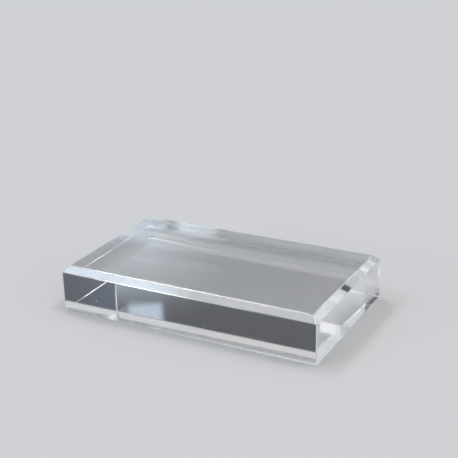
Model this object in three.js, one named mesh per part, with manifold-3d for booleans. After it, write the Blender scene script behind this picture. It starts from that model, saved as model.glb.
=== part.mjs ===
// Acrylic display block: one slab of clear cast acrylic, sawn from sheet and polished on every face,
// with a flat bevel along its four top edges. It lies on its underside, and its top face carries a
// display piece. Millimetres, +Z up, +X along the length, origin at the middle of the underside.

import * as THREE from "three";
import { mergeVertices } from "three/addons/utils/BufferGeometryUtils.js";
import Module from "manifold-3d";

// The slab
const LENGTH = 145;
const DEPTH = 85;
const THICKNESS = 25;

// The bevel: its width seen from above, and how far it drops down the sides
const BEVEL_WIDTH = 3.2;
const BEVEL_DROP = 3.2;

// Broken edges, round the underside and down the four upright corners
const BASE_ARRIS = 0.3;
const CORNER_ARRIS = 0.4;

// Clear acrylic, with the pale blue-grey of its lit edges
const ACRYLIC = {
  color: 0xdfe7ee,
  roughness: 0.05,
  metalness: 0,
  opacity: 0.35,
  transparent: true,
  flatShading: true,
};

// Directions of the row frame, for standing an outline upright
const ALONG_X = new THREE.Vector3(1, 0, 0);
const ALONG_Y = new THREE.Vector3(0, 1, 0);
const ALONG_Z = new THREE.Vector3(0, 0, 1);

const wasm = await Module();
wasm.setup();

// A closed geometry as a solid that can be cut
function solidFrom(geometry) {
  geometry.deleteAttribute("normal");
  geometry.deleteAttribute("uv");
  const merged = mergeVertices(geometry);
  const mesh = new wasm.Mesh({
    numProp: 3,
    vertProperties: new Float32Array(merged.attributes.position.array),
    triVerts: new Uint32Array(merged.index.array),
  });
  return new wasm.Manifold(mesh);
}

// A cut solid as a geometry again
function geometryFrom(solid) {
  const mesh = solid.getMesh();
  const geometry = new THREE.BufferGeometry();
  geometry.setAttribute("position", new THREE.BufferAttribute(mesh.vertProperties, 3));
  geometry.setIndex(new THREE.BufferAttribute(mesh.triVerts, 1));
  geometry.computeVertexNormals();
  return geometry;
}

// The outline seen from above: a rectangle with its corners broken
function planOutline() {
  const endX = LENGTH / 2;
  const sideY = DEPTH / 2;
  const outline = new THREE.Shape();
  outline.moveTo(CORNER_ARRIS - endX, -sideY);
  outline.lineTo(endX - CORNER_ARRIS, -sideY);
  outline.lineTo(endX, CORNER_ARRIS - sideY);
  outline.lineTo(endX, sideY - CORNER_ARRIS);
  outline.lineTo(endX - CORNER_ARRIS, sideY);
  outline.lineTo(CORNER_ARRIS - endX, sideY);
  outline.lineTo(-endX, sideY - CORNER_ARRIS);
  outline.lineTo(-endX, CORNER_ARRIS - sideY);
  outline.closePath();
  return outline;
}

// The outline seen from the front or from an end: bevelled above, broken below
function elevationOutline(width) {
  const side = width / 2;
  const outline = new THREE.Shape();
  outline.moveTo(BASE_ARRIS - side, 0);
  outline.lineTo(side - BASE_ARRIS, 0);
  outline.lineTo(side, BASE_ARRIS);
  outline.lineTo(side, THICKNESS - BEVEL_DROP);
  outline.lineTo(side - BEVEL_WIDTH, THICKNESS);
  outline.lineTo(BEVEL_WIDTH - side, THICKNESS);
  outline.lineTo(-side, THICKNESS - BEVEL_DROP);
  outline.lineTo(-side, BASE_ARRIS);
  outline.closePath();
  return outline;
}

// A straight bar with the outline as its section
function bar(outline, length) {
  return new THREE.ExtrudeGeometry(outline, { depth: length, bevelEnabled: false });
}

// The sheet blank, as wide and as deep as the block
function sheetBlank() {
  return solidFrom(bar(planOutline(), THICKNESS));
}

// A bar along Y, whose section is the block seen from the front
function frontBar() {
  const upright = new THREE.Matrix4().makeBasis(ALONG_X, ALONG_Z, ALONG_Y.clone().negate());
  const geometry = bar(elevationOutline(LENGTH), DEPTH).translate(0, 0, -DEPTH / 2);
  return solidFrom(geometry.applyMatrix4(upright));
}

// A bar along X, whose section is the block seen from an end
function endBar() {
  const upright = new THREE.Matrix4().makeBasis(ALONG_Y, ALONG_Z, ALONG_X);
  const geometry = bar(elevationOutline(DEPTH), LENGTH).translate(0, 0, -LENGTH / 2);
  return solidFrom(geometry.applyMatrix4(upright));
}

// The block is what the blank and the two bars share, so its bevels meet in mitres at the corners
function acrylicBlock() {
  const solid = sheetBlank().intersect(frontBar()).intersect(endBar());
  const block = new THREE.Mesh(geometryFrom(solid), new THREE.MeshStandardMaterial(ACRYLIC));
  block.name = "acrylic_block";
  return block;
}

const displayBlock = new THREE.Group();
displayBlock.add(acrylicBlock());

export default displayBlock;
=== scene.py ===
"""The acrylic display block, dressed and set in a plain studio.

A clear slab of cast acrylic lies on a pale floor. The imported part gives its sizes. This script models the
polished block over it, with a flat arris along every edge, and gives each kind of face its own polish.
Lengths are in metres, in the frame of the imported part: +Z up, +X along the block, the front face at -Y.
Azimuths turn from +Y, behind the block, towards +X, and elevations rise from the floor.
"""

import logging
import math
from dataclasses import dataclass, field
from enum import Enum

import bpy
from mathutils import Matrix, Vector


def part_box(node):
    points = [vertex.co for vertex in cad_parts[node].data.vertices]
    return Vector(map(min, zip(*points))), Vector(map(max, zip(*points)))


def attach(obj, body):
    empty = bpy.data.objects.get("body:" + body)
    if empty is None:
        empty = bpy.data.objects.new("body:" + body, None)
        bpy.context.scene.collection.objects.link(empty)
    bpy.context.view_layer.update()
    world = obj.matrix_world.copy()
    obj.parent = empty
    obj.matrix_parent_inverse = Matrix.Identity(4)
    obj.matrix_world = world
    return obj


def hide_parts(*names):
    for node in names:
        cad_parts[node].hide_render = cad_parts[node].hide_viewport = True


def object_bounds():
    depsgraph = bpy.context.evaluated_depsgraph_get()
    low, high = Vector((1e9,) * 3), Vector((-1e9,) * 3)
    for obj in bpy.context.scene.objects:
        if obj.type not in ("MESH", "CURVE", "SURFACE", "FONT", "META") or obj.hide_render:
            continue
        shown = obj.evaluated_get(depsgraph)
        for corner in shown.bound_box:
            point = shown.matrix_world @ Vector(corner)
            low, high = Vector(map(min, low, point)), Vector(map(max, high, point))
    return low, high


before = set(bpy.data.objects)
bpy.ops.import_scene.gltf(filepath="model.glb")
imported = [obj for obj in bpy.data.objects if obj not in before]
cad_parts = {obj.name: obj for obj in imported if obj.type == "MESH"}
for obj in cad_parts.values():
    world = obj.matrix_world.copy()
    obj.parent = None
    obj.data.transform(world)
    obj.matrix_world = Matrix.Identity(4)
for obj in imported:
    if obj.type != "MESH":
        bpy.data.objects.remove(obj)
CAD_LOW, CAD_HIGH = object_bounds()

LOG = logging.getLogger("display_block")

BLOCK_NODE = "acrylic_block"
BODY = "root"

MM = 0.001
MICRON = 0.000001

ALONG = Vector((1.0, 0.0, 0.0))
ACROSS = Vector((0.0, 1.0, 0.0))
UP = Vector((0.0, 0.0, 1.0))

Colour = tuple[float, float, float]
Triple = tuple[float, float, float]
Socket = bpy.types.NodeSocket

WALL_SHADE: Colour = (0.07, 0.074, 0.082)
WINDOW_LIGHT: Colour = (1.80, 2.20, 2.60)
# A wall panel this wide runs all round the room and has no upright edge.
ALL_ROUND_DEG = 400.0


class FaceKind(Enum):
    """The block's kinds of face."""

    TOP = "top"
    UNDERSIDE = "underside"
    LONG_SIDE = "long side"
    END = "end"
    BEVEL = "bevel"


class EdgeKind(Enum):
    """The block's kinds of edge."""

    RIM = "rim, round the top face"
    FOOT = "foot of a bevel"
    HIP = "hip, where two bevels meet"
    UPRIGHT = "upright corner"
    BASE = "base, round the underside"


def face_kind(normal: Vector) -> FaceKind:
    """Name a flat face by the way it looks.

    Args:
        normal: the face's outward normal.

    Returns:
        The kind of face.
    """
    nearly_square = 0.99
    if normal.dot(UP) > nearly_square:
        return FaceKind.TOP
    if normal.dot(UP) < -nearly_square:
        return FaceKind.UNDERSIDE
    if abs(normal.dot(ALONG)) > nearly_square:
        return FaceKind.END
    if abs(normal.dot(ACROSS)) > nearly_square:
        return FaceKind.LONG_SIDE
    return FaceKind.BEVEL


def edge_kind(beside: set[FaceKind]) -> EdgeKind:
    """Name an edge by the faces that meet there.

    Args:
        beside: the kinds of the two faces.

    Returns:
        The kind of edge.
    """
    if FaceKind.TOP in beside:
        return EdgeKind.RIM
    if FaceKind.UNDERSIDE in beside:
        return EdgeKind.BASE
    if beside == {FaceKind.BEVEL}:
        return EdgeKind.HIP
    return EdgeKind.FOOT if FaceKind.BEVEL in beside else EdgeKind.UPRIGHT


def compass(azimuth_deg: float, elevation_deg: float) -> Vector:
    """Turn an azimuth and an elevation into a direction.

    Args:
        azimuth_deg: the angle from +Y towards +X.
        elevation_deg: the angle above the floor.

    Returns:
        The unit vector that points that way.
    """
    turn = math.radians(azimuth_deg)
    rise = math.radians(elevation_deg)
    return (ALONG * math.sin(turn) + ACROSS * math.cos(turn)) * math.cos(rise) + UP * math.sin(rise)


def deselect_everything() -> None:
    """Leave nothing selected and nothing active."""
    bpy.ops.object.select_all(action="DESELECT")
    bpy.context.view_layer.objects.active = None


class NodeSheet:
    """A node tree with short calls for adding and joining nodes."""

    def __init__(self, tree: bpy.types.NodeTree) -> None:
        """Keep the tree to add nodes to."""
        self.tree = tree

    def add(self, kind: str, **values: object) -> bpy.types.Node:
        """Add a node and set its properties.

        Args:
            kind: the node's type name, without the ShaderNode prefix.
            values: properties of the node, by name.

        Returns:
            The new node.
        """
        node = self.tree.nodes.new("ShaderNode" + kind)
        for name, value in values.items():
            setattr(node, name, value)
        return node

    def put(self, value: object, target: Socket) -> None:
        """Link an output socket to an input socket, or set a plain value there.

        Args:
            value: the output socket or the plain value.
            target: the input socket.
        """
        if isinstance(value, Socket):
            self.tree.links.new(value, target)
        else:
            target.default_value = value

    def feed(self, node: bpy.types.Node, **inputs: object) -> bpy.types.Node:
        """Set or link a node's inputs.

        Args:
            node: the node to feed.
            inputs: a plain value or an output socket for each input, by name with _ for a space.

        Returns:
            The same node.
        """
        for name, value in inputs.items():
            self.put(value, node.inputs[name.replace("_", " ")])
        return node

    def maths(self, operation: str, *values: object) -> Socket:
        """Add a Math node.

        Args:
            operation: the node's operation.
            values: a plain value or an output socket for each input, in order.

        Returns:
            The node's output socket.
        """
        node = self.add("Math", operation=operation)
        for value, socket in zip(values, node.inputs):
            self.put(value, socket)
        return node.outputs["Value"]

    def ramp(
        self,
        value: Socket,
        low: float,
        high: float,
        out_low: float = 0.0,
        out_high: float = 1.0,
    ) -> Socket:
        """Add a smooth Map Range node.

        Args:
            value: the output socket to map.
            low: the value that gives out_low.
            high: the value that gives out_high.
            out_low: what the low end gives.
            out_high: what the high end gives.

        Returns:
            The node's output socket.
        """
        node = self.add("MapRange", interpolation_type="SMOOTHSTEP")
        self.feed(node, Value=value, From_Min=low, From_Max=high, To_Min=out_low, To_Max=out_high)
        return node.outputs["Result"]

    def blend(self, mask: Socket, first: object, second: object) -> Socket:
        """Add a colour Mix node.

        Args:
            mask: the output socket that gives the second colour's share.
            first: a plain colour or an output socket.
            second: a plain colour or an output socket.

        Returns:
            The node's output socket.
        """
        node = self.feed(self.add("Mix", data_type="RGBA"), Factor=mask)
        sockets = {socket.identifier: socket for socket in (*node.inputs, *node.outputs)}
        for value, name in ((first, "A_Color"), (second, "B_Color")):
            self.put((*value, 1.0) if isinstance(value, tuple) else value, sockets[name])
        return sockets["Result_Color"]

    def noise(self, place: Socket, scale: object, detail: float = 0.0) -> Socket:
        """Add a Noise Texture node with this many finer layers, and return its value."""
        return self.feed(self.add("TexNoise"), Vector=place, Scale=scale, Detail=detail).outputs["Fac"]

    def stretched(self, place: Socket, turn_deg: float, per_metre: Triple) -> Socket:
        """Turn coordinates about Z and scale them along each axis.

        Args:
            place: the output socket that gives the coordinates.
            turn_deg: the turn about Z.
            per_metre: how many units a metre becomes along each axis.

        Returns:
            The new coordinates.
        """
        node = self.add("Mapping", vector_type="TEXTURE")
        sizes = tuple(1.0 / scale for scale in per_metre)
        self.feed(node, Vector=place, Rotation=(0.0, 0.0, math.radians(turn_deg)), Scale=sizes)
        return node.outputs["Vector"]


class EffectGroup:
    """A shader node group that more than one finish uses."""

    name: str = "effect"

    def __init__(self) -> None:
        """Make the group with its sockets and its nodes."""
        self.group = bpy.data.node_groups.new(self.name, "ShaderNodeTree")
        self.sheet = NodeSheet(self.group)
        self.given = self.group.nodes.new("NodeGroupInput")
        self.made = self.group.nodes.new("NodeGroupOutput")
        self.wire(self.takes("Place", "Vector"))

    def takes(self, name: str, kind: str = "Float") -> Socket:
        """Add an input to the group, Float or Vector, and return its socket inside."""
        self.group.interface.new_socket(name, in_out="INPUT", socket_type="NodeSocket" + kind)
        return self.given.outputs[name]

    def gives(self, name: str, value: Socket) -> None:
        """Add an output to the group and link what it gives."""
        self.group.interface.new_socket(name, in_out="OUTPUT", socket_type="NodeSocketFloat")
        self.sheet.put(value, self.made.inputs[name])

    def wire(self, place: Socket) -> None:
        """Add the group's own nodes, from the coordinates that it is given."""
        raise NotImplementedError

    def use(self, sheet: NodeSheet, **inputs: object) -> Socket:
        """Put the group into a material.

        Args:
            sheet: the material's node sheet.
            inputs: the group's inputs, by name with _ for a space.

        Returns:
            The group's output.
        """
        node = sheet.add("Group")
        node.node_tree = self.group
        return sheet.feed(node, **inputs).outputs[0]


class BuffingWaves(EffectGroup):
    """The slow unevenness that a buffing wheel leaves, as a height from 0 to about 1."""

    name: str = "buffing_waves"
    finer_by: float = 2.7
    finer_share: float = 0.2

    def wire(self, place: Socket) -> None:
        """Add a long noise and a shorter, weaker one.

        Args:
            place: the coordinates.
        """
        sheet = self.sheet
        scale = sheet.maths("DIVIDE", 1.0, self.takes("Wavelength"))
        slow = sheet.noise(place, scale)
        quick = sheet.noise(place, sheet.maths("MULTIPLY", scale, self.finer_by))
        self.gives("Height", sheet.maths("MULTIPLY_ADD", quick, self.finer_share, slow))


class WipeStreaks(EffectGroup):
    """The faint haze that a cloth leaves in long streaks, as a mask."""

    name: str = "wipe_streaks"
    turn_deg: float = 4.0
    per_metre: Triple = (14.0, 170.0, 170.0)
    finer_layers: float = 3.0
    clear_below: float = 0.42
    full_above: float = 0.75

    def wire(self, place: Socket) -> None:
        """Add a noise drawn out along the block, with the clear stretches cut off.

        Args:
            place: the coordinates.
        """
        sheet = self.sheet
        drawn = sheet.stretched(place, self.turn_deg, self.per_metre)
        haze = sheet.noise(drawn, 1.0, self.finer_layers)
        self.gives("Mask", sheet.ramp(haze, self.clear_below, self.full_above))


class HairlineMarks(EffectGroup):
    """Fine scratches from wiping and stacking, as a mask."""

    name: str = "hairline_marks"
    lines: tuple[tuple[float, Triple], ...] = (
        (21.0, (38.0, 2600.0, 2600.0)),
        (-58.0, (46.0, 2100.0, 2100.0)),
        (-8.0, (24.0, 3000.0, 3000.0)),
    )
    sharpness: float = 0.03

    def wire(self, place: Socket) -> None:
        """Add noises drawn out in a few directions, and keep only their highest crests.

        Args:
            place: the coordinates.
        """
        sheet = self.sheet
        rarity = self.takes("Rarity")
        deepest = None
        for turn_deg, per_metre in self.lines:
            crest = sheet.noise(sheet.stretched(place, turn_deg, per_metre), 1.0)
            line = sheet.ramp(sheet.maths("SUBTRACT", crest, rarity), 0.0, self.sharpness)
            deepest = line if deepest is None else sheet.maths("MAXIMUM", deepest, line)
        self.gives("Mask", deepest)


class DustSpecks(EffectGroup):
    """Single grains of dust, few and small, as a mask."""

    name: str = "dust_specks"
    kept_above: float = 0.8
    softness: float = 0.08 * MM

    def wire(self, place: Socket) -> None:
        """Add a round spot in some cells of a Voronoi pattern.

        Args:
            place: the coordinates.
        """
        sheet = self.sheet
        spacing = self.takes("Spacing")
        grain = self.takes("Grain")
        cells = sheet.feed(sheet.add("TexVoronoi"), Vector=place, Scale=sheet.maths("DIVIDE", 1.0, spacing))
        lot = sheet.feed(sheet.add("SeparateColor"), Color=cells.outputs["Color"])
        away = sheet.maths("MULTIPLY", cells.outputs["Distance"], spacing)
        reach = sheet.maths("MULTIPLY", lot.outputs["Red"], grain)
        spot = sheet.ramp(sheet.maths("SUBTRACT", reach, away), 0.0, self.softness)
        kept = sheet.maths("GREATER_THAN", lot.outputs["Green"], self.kept_above)
        self.gives("Mask", sheet.maths("MULTIPLY", spot, kept))


@dataclass
class Wear:
    """The effects that every finish shares, each made once."""

    waves: BuffingWaves = field(default_factory=BuffingWaves)
    streaks: WipeStreaks = field(default_factory=WipeStreaks)
    marks: HairlineMarks = field(default_factory=HairlineMarks)
    dust: DustSpecks = field(default_factory=DustSpecks)


@dataclass(frozen=True)
class ClearAcrylic:
    """One finish of the clear acrylic, from as-cast gloss to a scraped arris."""

    name: str
    roughness: float
    hazy_roughness: float
    marked_roughness: float
    wave_length: float
    wave_height: float
    mark_rarity: float
    mark_depth: float = 0.4 * MICRON
    dust_spacing: float = 3.0 * MM
    dust_grain: float = 0.30 * MM
    dust_height: float = 30.0 * MICRON
    dusty_roughness: float = 0.8
    tint: Colour = (0.984, 0.991, 0.996)
    dusty_tint: Colour = (0.86, 0.86, 0.84)
    ior: float = 1.49

    def material(self, wear: Wear) -> bpy.types.Material:
        """Make the material.

        Args:
            wear: the effects that it draws on.

        Returns:
            The new material.
        """
        made = bpy.data.materials.new(self.name)
        made.use_nodes = True
        sheet = NodeSheet(made.node_tree)
        place = sheet.add("TexCoord").outputs["Object"]
        waves = wear.waves.use(sheet, Place=place, Wavelength=self.wave_length)
        streaks = wear.streaks.use(sheet, Place=place)
        marks = wear.marks.use(sheet, Place=place, Rarity=self.mark_rarity)
        dust = wear.dust.use(sheet, Place=place, Spacing=self.dust_spacing, Grain=self.dust_grain)
        hazy = sheet.ramp(streaks, 0.0, 1.0, self.roughness, self.hazy_roughness)
        marked = sheet.ramp(marks, 0.0, 1.0, 0.0, self.marked_roughness)
        dusty = sheet.ramp(dust, 0.0, 1.0, 0.0, self.dusty_roughness)
        height = sheet.maths("MULTIPLY", waves, self.wave_height)
        height = sheet.maths("MULTIPLY_ADD", marks, -self.mark_depth, height)
        height = sheet.maths("MULTIPLY_ADD", dust, self.dust_height, height)
        bump = sheet.feed(sheet.add("Bump"), Height=height, Distance=1.0)
        sheet.feed(
            made.node_tree.nodes["Principled BSDF"],
            Base_Color=sheet.blend(dust, self.tint, self.dusty_tint),
            Roughness=sheet.maths("MAXIMUM", hazy, sheet.maths("MAXIMUM", marked, dusty)),
            Normal=bump.outputs["Normal"],
            IOR=self.ior,
            Transmission_Weight=1.0,
        )
        return made


WIPED_TOP = ClearAcrylic(
    name="wiped_top",
    roughness=0.022,
    hazy_roughness=0.13,
    marked_roughness=0.18,
    wave_length=60.0 * MM,
    wave_height=4.0 * MICRON,
    mark_rarity=0.84,
)
CAST_UNDERSIDE = ClearAcrylic(
    name="cast_underside",
    roughness=0.022,
    hazy_roughness=0.05,
    marked_roughness=0.14,
    wave_length=60.0 * MM,
    wave_height=4.0 * MICRON,
    mark_rarity=0.86,
)
PLANED_SIDE = ClearAcrylic(
    name="planed_side",
    roughness=0.025,
    hazy_roughness=0.045,
    marked_roughness=0.14,
    wave_length=30.0 * MM,
    wave_height=3.0 * MICRON,
    mark_rarity=0.855,
    dust_grain=0.22 * MM,
)
BUFFED_END = ClearAcrylic(
    name="buffed_end",
    roughness=0.05,
    hazy_roughness=0.07,
    marked_roughness=0.14,
    wave_length=16.0 * MM,
    wave_height=5.0 * MICRON,
    mark_rarity=0.855,
)
BUFFED_BEVEL = ClearAcrylic(
    name="buffed_bevel",
    roughness=0.055,
    hazy_roughness=0.075,
    marked_roughness=0.14,
    wave_length=16.0 * MM,
    wave_height=3.0 * MICRON,
    mark_rarity=0.855,
)
SCRAPED_ARRIS = ClearAcrylic(
    name="scraped_arris",
    roughness=0.15,
    hazy_roughness=0.20,
    marked_roughness=0.25,
    wave_length=5.0 * MM,
    wave_height=4.0 * MICRON,
    mark_rarity=0.84,
)


@dataclass
class DisplayBlock:
    """The clear slab: sawn square, bevelled round the top, with a flat arris along every edge."""

    low: Vector
    high: Vector
    bevel_width: float
    bevel_drop: float
    arris: dict[EdgeKind, float] = field(default_factory=lambda: {
        EdgeKind.RIM: 0.38 * MM,
        EdgeKind.FOOT: 0.30 * MM,
        EdgeKind.HIP: 0.28 * MM,
        EdgeKind.UPRIGHT: 0.40 * MM,
        EdgeKind.BASE: 0.30 * MM,
    })
    polish: dict[FaceKind, ClearAcrylic] = field(default_factory=lambda: {
        FaceKind.TOP: WIPED_TOP,
        FaceKind.UNDERSIDE: CAST_UNDERSIDE,
        FaceKind.LONG_SIDE: PLANED_SIDE,
        FaceKind.END: BUFFED_END,
        FaceKind.BEVEL: BUFFED_BEVEL,
    })
    arris_polish: ClearAcrylic = SCRAPED_ARRIS

    @classmethod
    def from_frame(cls) -> "DisplayBlock":
        """Read the block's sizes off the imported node.

        Returns:
            The block at those sizes.
        """
        low, high = (Vector(corner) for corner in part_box(BLOCK_NODE))
        points = [vertex.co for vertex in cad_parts[BLOCK_NODE].data.vertices]
        hair = 0.01 * MM
        top_end = max(point.x for point in points if point.z > high.z - hair)
        side_top = max(point.z for point in points if point.x > high.x - hair)
        return cls(low, high, bevel_width=high.x - top_end, bevel_drop=high.z - side_top)

    def build(self) -> bpy.types.Object:
        """Model and dress the block.

        Returns:
            The block's object, with its place in its mesh.
        """
        block = self.saw_blank()
        self.cut_bevels()
        self.dress(block)
        self.break_edges(block)
        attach(block, BODY)
        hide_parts(BLOCK_NODE)
        return block

    def saw_blank(self) -> bpy.types.Object:
        """Add the square blank.

        Returns:
            The blank's object.
        """
        deselect_everything()
        middle = (self.low + self.high) / 2
        bpy.ops.mesh.primitive_cube_add(size=1.0, location=middle, scale=self.high - self.low)
        bpy.ops.object.transform_apply(location=True, rotation=True, scale=True)
        blank = bpy.context.object
        blank.name = "polished_block"
        return blank

    def cut_bevels(self) -> None:
        """Cut the top edges off the active blank, with one flat pass along each side."""
        bpy.ops.object.mode_set(mode="EDIT")
        for way in (ALONG, -ALONG, ACROSS, -ACROSS):
            reach = max(way.dot(self.low), way.dot(self.high))
            on_rim = way * (reach - self.bevel_width) + UP * self.high.z
            slope = (way * self.bevel_drop + UP * self.bevel_width).normalized()
            bpy.ops.mesh.select_all(action="SELECT")
            bpy.ops.mesh.bisect(plane_co=on_rim, plane_no=slope, use_fill=True, clear_outer=True)
        bpy.ops.mesh.select_all(action="SELECT")
        bpy.ops.mesh.normals_make_consistent(inside=False)
        bpy.ops.object.mode_set(mode="OBJECT")

    def dress(self, block: bpy.types.Object) -> None:
        """Give each face its polish, and keep the last slot for the arrises.

        Args:
            block: the bevelled block.
        """
        wear = Wear()
        finishes = [*self.polish.values(), self.arris_polish]
        for finish in finishes:
            block.data.materials.append(finish.material(wear))
        for face in block.data.polygons:
            face.material_index = finishes.index(self.polish[face_kind(face.normal)])

    def break_edges(self, block: bpy.types.Object) -> None:
        """Scrape a flat arris along each edge, to its own width.

        Args:
            block: the dressed block.
        """
        widest = max(self.arris.values())
        beside: dict[tuple[int, int], set[FaceKind]] = {}
        for face in block.data.polygons:
            for key in face.edge_keys:
                beside.setdefault(key, set()).add(face_kind(face.normal))
        weights = block.data.attributes.new("bevel_weight_edge", "FLOAT", "EDGE")
        for edge in block.data.edges:
            weights.data[edge.index].value = self.arris[edge_kind(beside[edge.key])] / widest
        bpy.ops.object.modifier_add(type="BEVEL")
        scraper = block.modifiers[-1]
        scraper.limit_method = "WEIGHT"
        scraper.width = widest
        scraper.segments = 1
        scraper.material = len(block.data.materials) - 1
        bpy.ops.object.modifier_apply(modifier=scraper.name)


@dataclass(frozen=True)
class WallPanel:
    """A soft-edged panel of one tone on the studio's walls, as the block sees it."""

    name: str
    azimuth_deg: float
    elevation_deg: float
    width_deg: float
    height_deg: float
    edge_deg: float
    colour: Colour

    def mask(self, sheet: NodeSheet, azimuth: Socket, elevation: Socket) -> Socket:
        """Work out where the panel is.

        Args:
            sheet: the world's node sheet.
            azimuth: the direction's azimuth in radians.
            elevation: the direction's elevation in radians.

        Returns:
            1 on the panel and 0 off it.
        """
        edge = math.radians(self.edge_deg) / 2
        across = sheet.maths("SUBTRACT", azimuth, math.radians(self.azimuth_deg))
        across = sheet.maths("ABSOLUTE", sheet.maths("WRAP", across, math.pi, -math.pi))
        upward = sheet.maths("SUBTRACT", elevation, math.radians(self.elevation_deg))
        upward = sheet.maths("ABSOLUTE", upward)
        half_width = math.radians(self.width_deg) / 2
        half_height = math.radians(self.height_deg) / 2
        return sheet.maths(
            "MULTIPLY",
            sheet.ramp(across, half_width + edge, half_width - edge),
            sheet.ramp(upward, half_height + edge, half_height - edge),
        )


@dataclass(frozen=True)
class SmallLamp:
    """A small soft box that looks at the block, and that one arris catches."""

    name: str
    azimuth_deg: float
    elevation_deg: float
    width_deg: float
    height_deg: float
    radiance: float
    distance: float = 7.0

    def span(self, angle_deg: float) -> float:
        """Turn an angle that the block sees into a length on the lamp."""
        return 2 * self.distance * math.tan(math.radians(angle_deg) / 2)

    def hang(self, target: Vector) -> None:
        """Add the lamp.

        Args:
            target: the point that it looks at.
        """
        away = compass(self.azimuth_deg, self.elevation_deg)
        data = bpy.data.lights.new(self.name, "AREA")
        data.shape = "RECTANGLE"
        data.size = self.span(self.width_deg)
        data.size_y = self.span(self.height_deg)
        # A flat lamp gives off pi times its radiance from each square metre.
        data.energy = self.radiance * math.pi * data.size * data.size_y
        lamp = bpy.data.objects.new(self.name, data)
        lamp.location = target + away * self.distance
        lamp.rotation_euler = away.to_track_quat("Z", "Y").to_euler()
        lamp.visible_camera = False
        bpy.context.scene.collection.objects.link(lamp)


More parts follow.
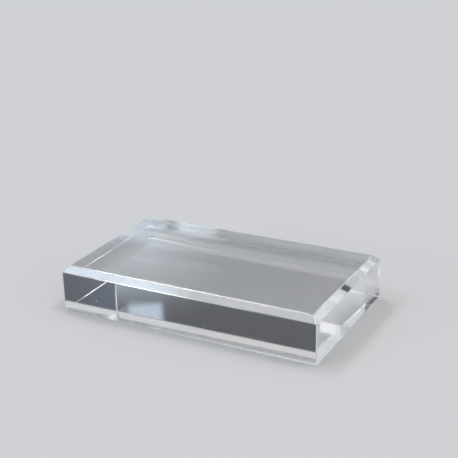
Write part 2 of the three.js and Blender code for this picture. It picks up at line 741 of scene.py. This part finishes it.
@dataclass
class Studio:
    """The pale floor, the walls, the small lamps and the camera."""

    floor_size: float = 16.0
    floor_gap: float = 0.1 * MM
    floor_colour: Colour = (0.60, 0.60, 0.605)
    wall_colour: Colour = WALL_SHADE
    # Each row: name, azimuth, elevation, width, height and soft edge in degrees, then colour.
    # A later panel hangs over an earlier one.
    panels: tuple[WallPanel, ...] = (
        WallPanel("ceiling", 0.0, 90.0, ALL_ROUND_DEG, 90.0, 20.0, (0.93, 0.93, 0.93)),
        WallPanel("sweep", 0.0, 0.0, ALL_ROUND_DEG, 27.0, 3.0, (0.62, 0.62, 0.625)),
        WallPanel("left_wall", 227.0, 28.0, 62.0, 36.0, 8.0, (0.76, 0.79, 0.83)),
        WallPanel("right_wall", 90.0, 28.0, 76.0, 36.0, 8.0, (1.00, 1.00, 1.00)),
        WallPanel("skylight", 238.0, 47.5, 20.0, 7.0, 1.5, (5.0, 6.5, 8.5)),
        WallPanel("far_wall", 32.0, 28.0, 8.0, 30.0, 8.0, (0.09, 0.125, 0.18)),
        WallPanel("low_window", 29.7, 22.2, 5.4, 4.6, 0.8, (2.9, 2.85, 2.75)),
        WallPanel("high_window", 313.6, 38.0, 28.0, 25.2, 0.4, (0.48, 0.56, 0.66)),
        WallPanel("window_bar", 325.0, 38.0, 1.2, 27.0, 0.4, WALL_SHADE),
        WallPanel("window_glow", 313.0, 19.8, 32.0, 8.0, 5.0, (0.70, 0.80, 0.92)),
        WallPanel("broad_pane", 312.6, 18.7, 31.0, 6.0, 0.5, WINDOW_LIGHT),
        WallPanel("narrow_pane", 329.9, 18.7, 2.2, 6.0, 0.5, WINDOW_LIGHT),
    )
    # Each row: name, azimuth, elevation, width and height in degrees, then radiance.
    # A lamp hangs where the edge in its name mirrors it to the camera.
    lamps: tuple[SmallLamp, ...] = (
        SmallLamp("front_rim_lamp", 297.0, 56.2, 6.4, 5.0, 30.0),
        SmallLamp("front_rim_end_lamp", 306.0, 61.5, 5.7, 7.0, 6.0),
        SmallLamp("front_foot_lamp", 212.3, 14.5, 6.0, 4.6, 38.0),
        SmallLamp("near_hip_lamp", 68.0, 68.0, 10.0, 10.0, 13.0),
        SmallLamp("right_rim_lamp", 359.5, 28.0, 10.8, 10.8, 1.0),
        SmallLamp("left_base_lamp", 29.5, 33.0, 5.0, 7.0, 2.6),
        SmallLamp("left_base_top_lamp", 152.0, 33.0, 5.7, 4.1, 9.0),
        SmallLamp("far_corner_lamp", 123.5, 22.0, 3.5, 3.5, 4.0),
        SmallLamp("back_foot_lamp", 275.0, 60.5, 6.4, 5.0, 14.0),
        SmallLamp("back_base_lamp", 126.0, 52.5, 6.0, 5.0, 15.0),
    )
    camera_place: Triple = (0.24454, -0.44635, 0.24311)
    camera_turn_deg: float = 28.2475
    camera_dip_deg: float = 21.5147
    camera_roll_deg: float = -1.4446
    camera_near: float = 10.0 * MM
    lens_mm: float = 82.64
    sensor_mm: float = 36.0
    light_bounces: int = 128

    def build(self, target: Vector) -> None:
        """Set up everything round the block.

        Args:
            target: the point that the lamps look at.
        """
        self.set_camera()
        self.lay_floor()
        self.paint_walls()
        for lamp in self.lamps:
            lamp.hang(target)
        self.set_view()

    def set_camera(self) -> None:
        """Add the camera at the photograph's viewing angle."""
        data = bpy.data.cameras.new("studio_camera")
        data.sensor_width = self.sensor_mm
        data.lens = self.lens_mm
        data.clip_start = self.camera_near
        camera = bpy.data.objects.new("studio_camera", data)
        level = math.pi / 2
        turn = Matrix.Rotation(math.radians(self.camera_turn_deg), 4, "Z")
        tip = Matrix.Rotation(level - math.radians(self.camera_dip_deg), 4, "X")
        roll = Matrix.Rotation(math.radians(self.camera_roll_deg), 4, "Z")
        camera.matrix_world = Matrix.Translation(self.camera_place) @ turn @ tip @ roll
        bpy.context.scene.collection.objects.link(camera)
        bpy.context.scene.camera = camera

    def lay_floor(self) -> None:
        """Add the floor, a hair under the block so that no two faces share a plane."""
        deselect_everything()
        bpy.ops.mesh.primitive_plane_add(size=self.floor_size, location=(0.0, 0.0, -self.floor_gap))
        floor = bpy.context.object
        floor.name = "studio_floor"
        paint = bpy.data.materials.new("floor_paint")
        paint.use_nodes = True
        NodeSheet(paint.node_tree).feed(
            paint.node_tree.nodes["Principled BSDF"],
            Base_Color=(*self.floor_colour, 1.0),
            Roughness=1.0,
            Specular_IOR_Level=0.0,
        )
        floor.data.materials.append(paint)

    def paint_walls(self) -> None:
        """Give the room its tones, panel over panel."""
        world = bpy.data.worlds.new("studio_room")
        world.use_nodes = True
        sheet = NodeSheet(world.node_tree)
        way = sheet.feed(sheet.add("SeparateXYZ"), Vector=sheet.add("TexCoord").outputs["Generated"])
        azimuth = sheet.maths("ARCTAN2", way.outputs["X"], way.outputs["Y"])
        elevation = sheet.maths("ARCSINE", way.outputs["Z"])
        tone: object = self.wall_colour
        for panel in self.panels:
            tone = sheet.blend(panel.mask(sheet, azimuth, elevation), tone, panel.colour)
        sheet.feed(world.node_tree.nodes["Background"], Color=tone)
        bpy.context.scene.world = world

    def set_view(self) -> None:
        """Show plain colours, and let light bounce through the block until it leaves."""
        scene = bpy.context.scene
        scene.view_settings.view_transform = "Standard"
        scene.cycles.max_bounces = self.light_bounces
        scene.cycles.transmission_bounces = self.light_bounces
        scene.cycles.glossy_bounces = self.light_bounces


def main() -> None:
    """Build the block, then the studio round it."""
    logging.basicConfig(level=logging.INFO, format="%(name)s: %(message)s")
    block = DisplayBlock.from_frame().build()
    LOG.info("%s: %d faces, on %s", block.name, len(block.data.polygons), BODY)
    Studio().build((CAD_LOW + CAD_HIGH) / 2)


if __name__ == "__main__":
    main()
